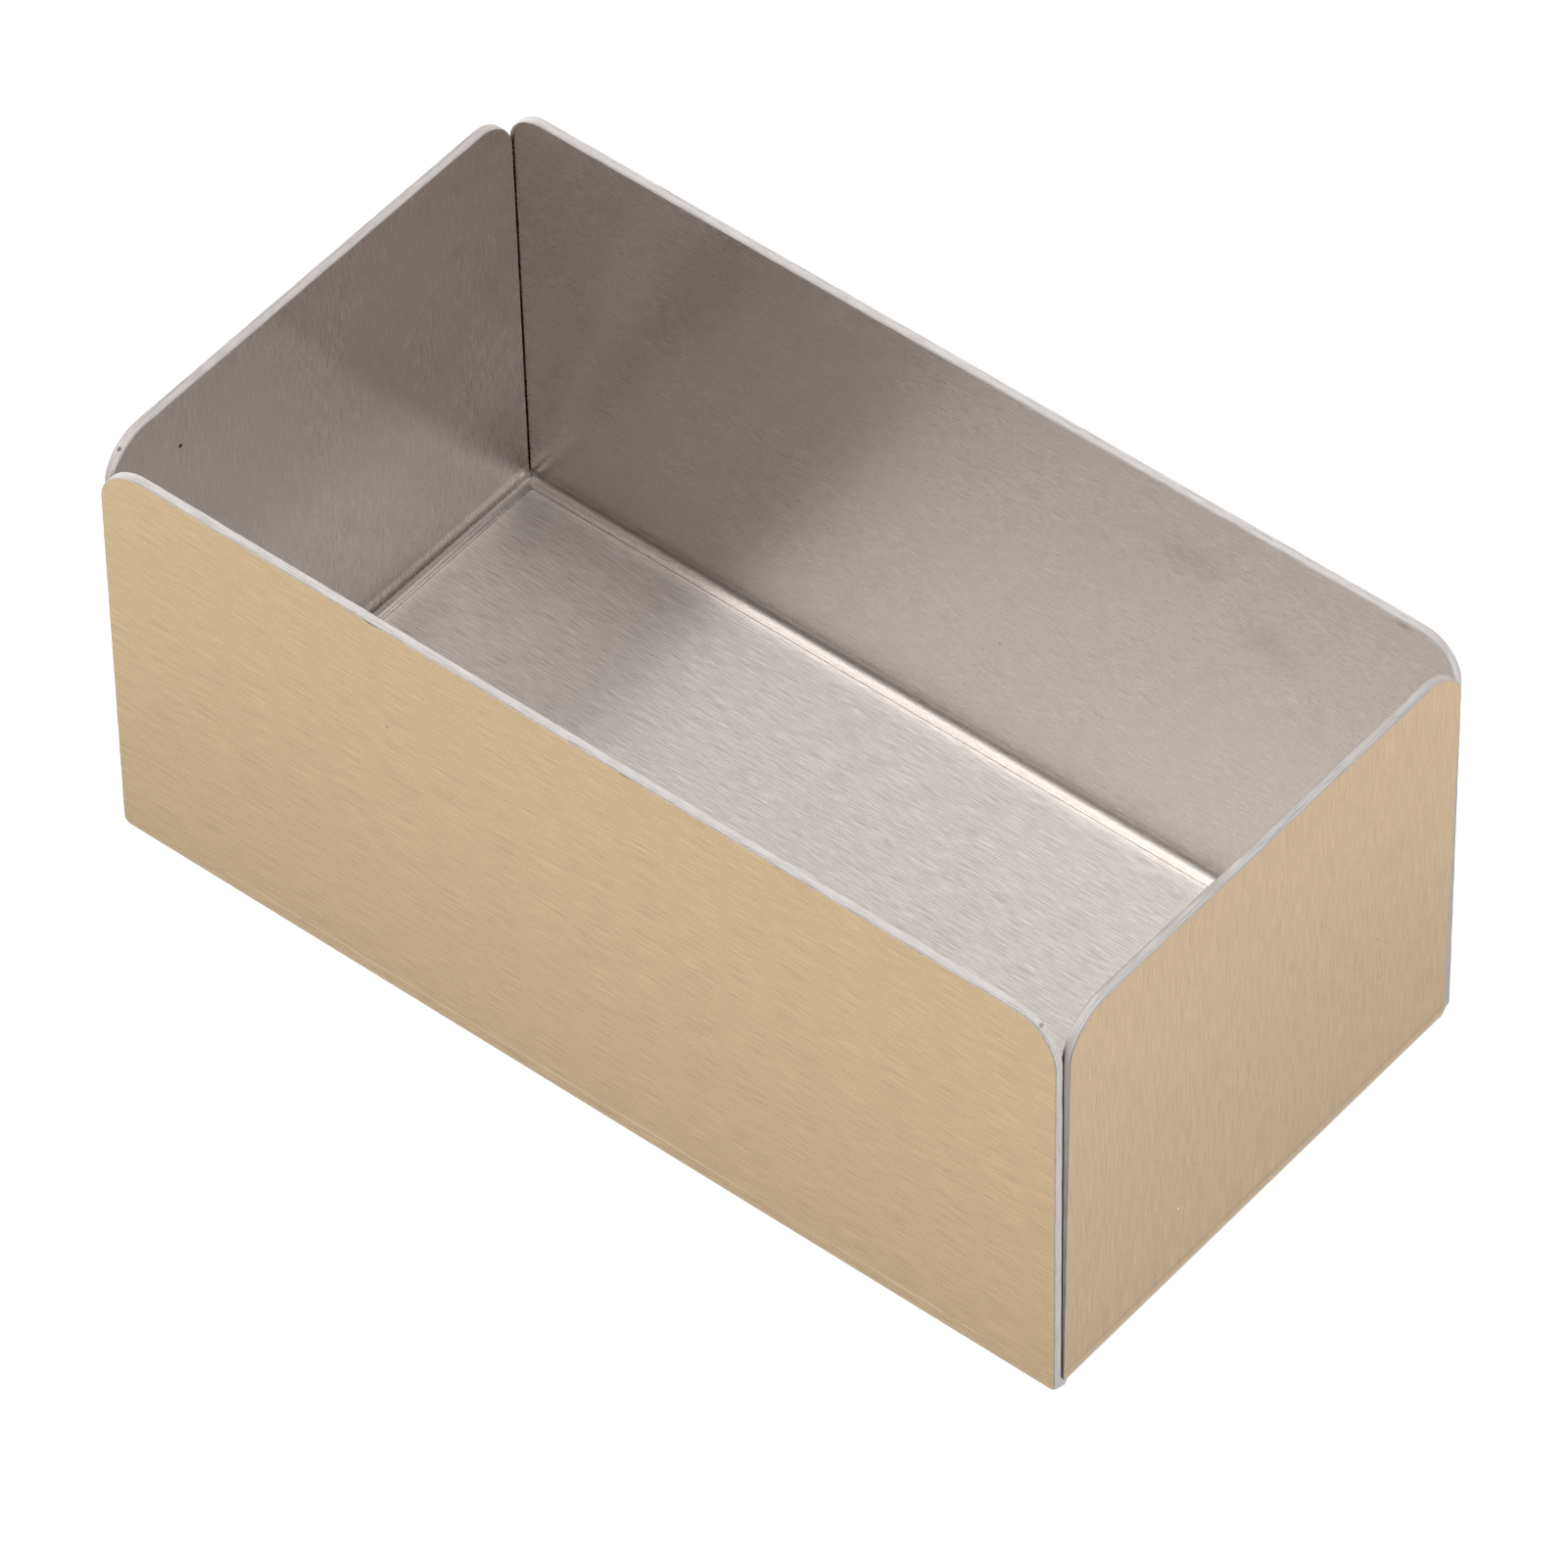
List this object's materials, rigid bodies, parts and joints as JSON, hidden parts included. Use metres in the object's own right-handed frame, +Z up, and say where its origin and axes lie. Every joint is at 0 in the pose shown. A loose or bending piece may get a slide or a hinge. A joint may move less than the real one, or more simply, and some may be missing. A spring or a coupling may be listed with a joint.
{
  "type": "sugar packet holder",
  "caption": "Open-topped rectangular tray folded from brushed sheet metal, gold outside and bare steel inside, with open corner seams and rounded wall corners, for standing sugar packets.",
  "frame": {"origin": "middle of the flat underside, at table level", "axes": "+X along the length towards the right end wall, +Y across the width towards the back wall, +Z up"},
  "size_m": [0.1284, 0.0674, 0.057],
  "materials": {
    "gold_finish": "brushed champagne-gold coating on the outside of the steel sheet",
    "bare_steel": "brushed bare steel on the inside and the cut edges"
  },
  "bodies": {
    "root": {"base_panel": "bare_steel", "front_wall": "gold_finish", "back_wall": "gold_finish", "left_end_wall": "gold_finish", "right_end_wall": "gold_finish"}
  },
  "joints": []
}
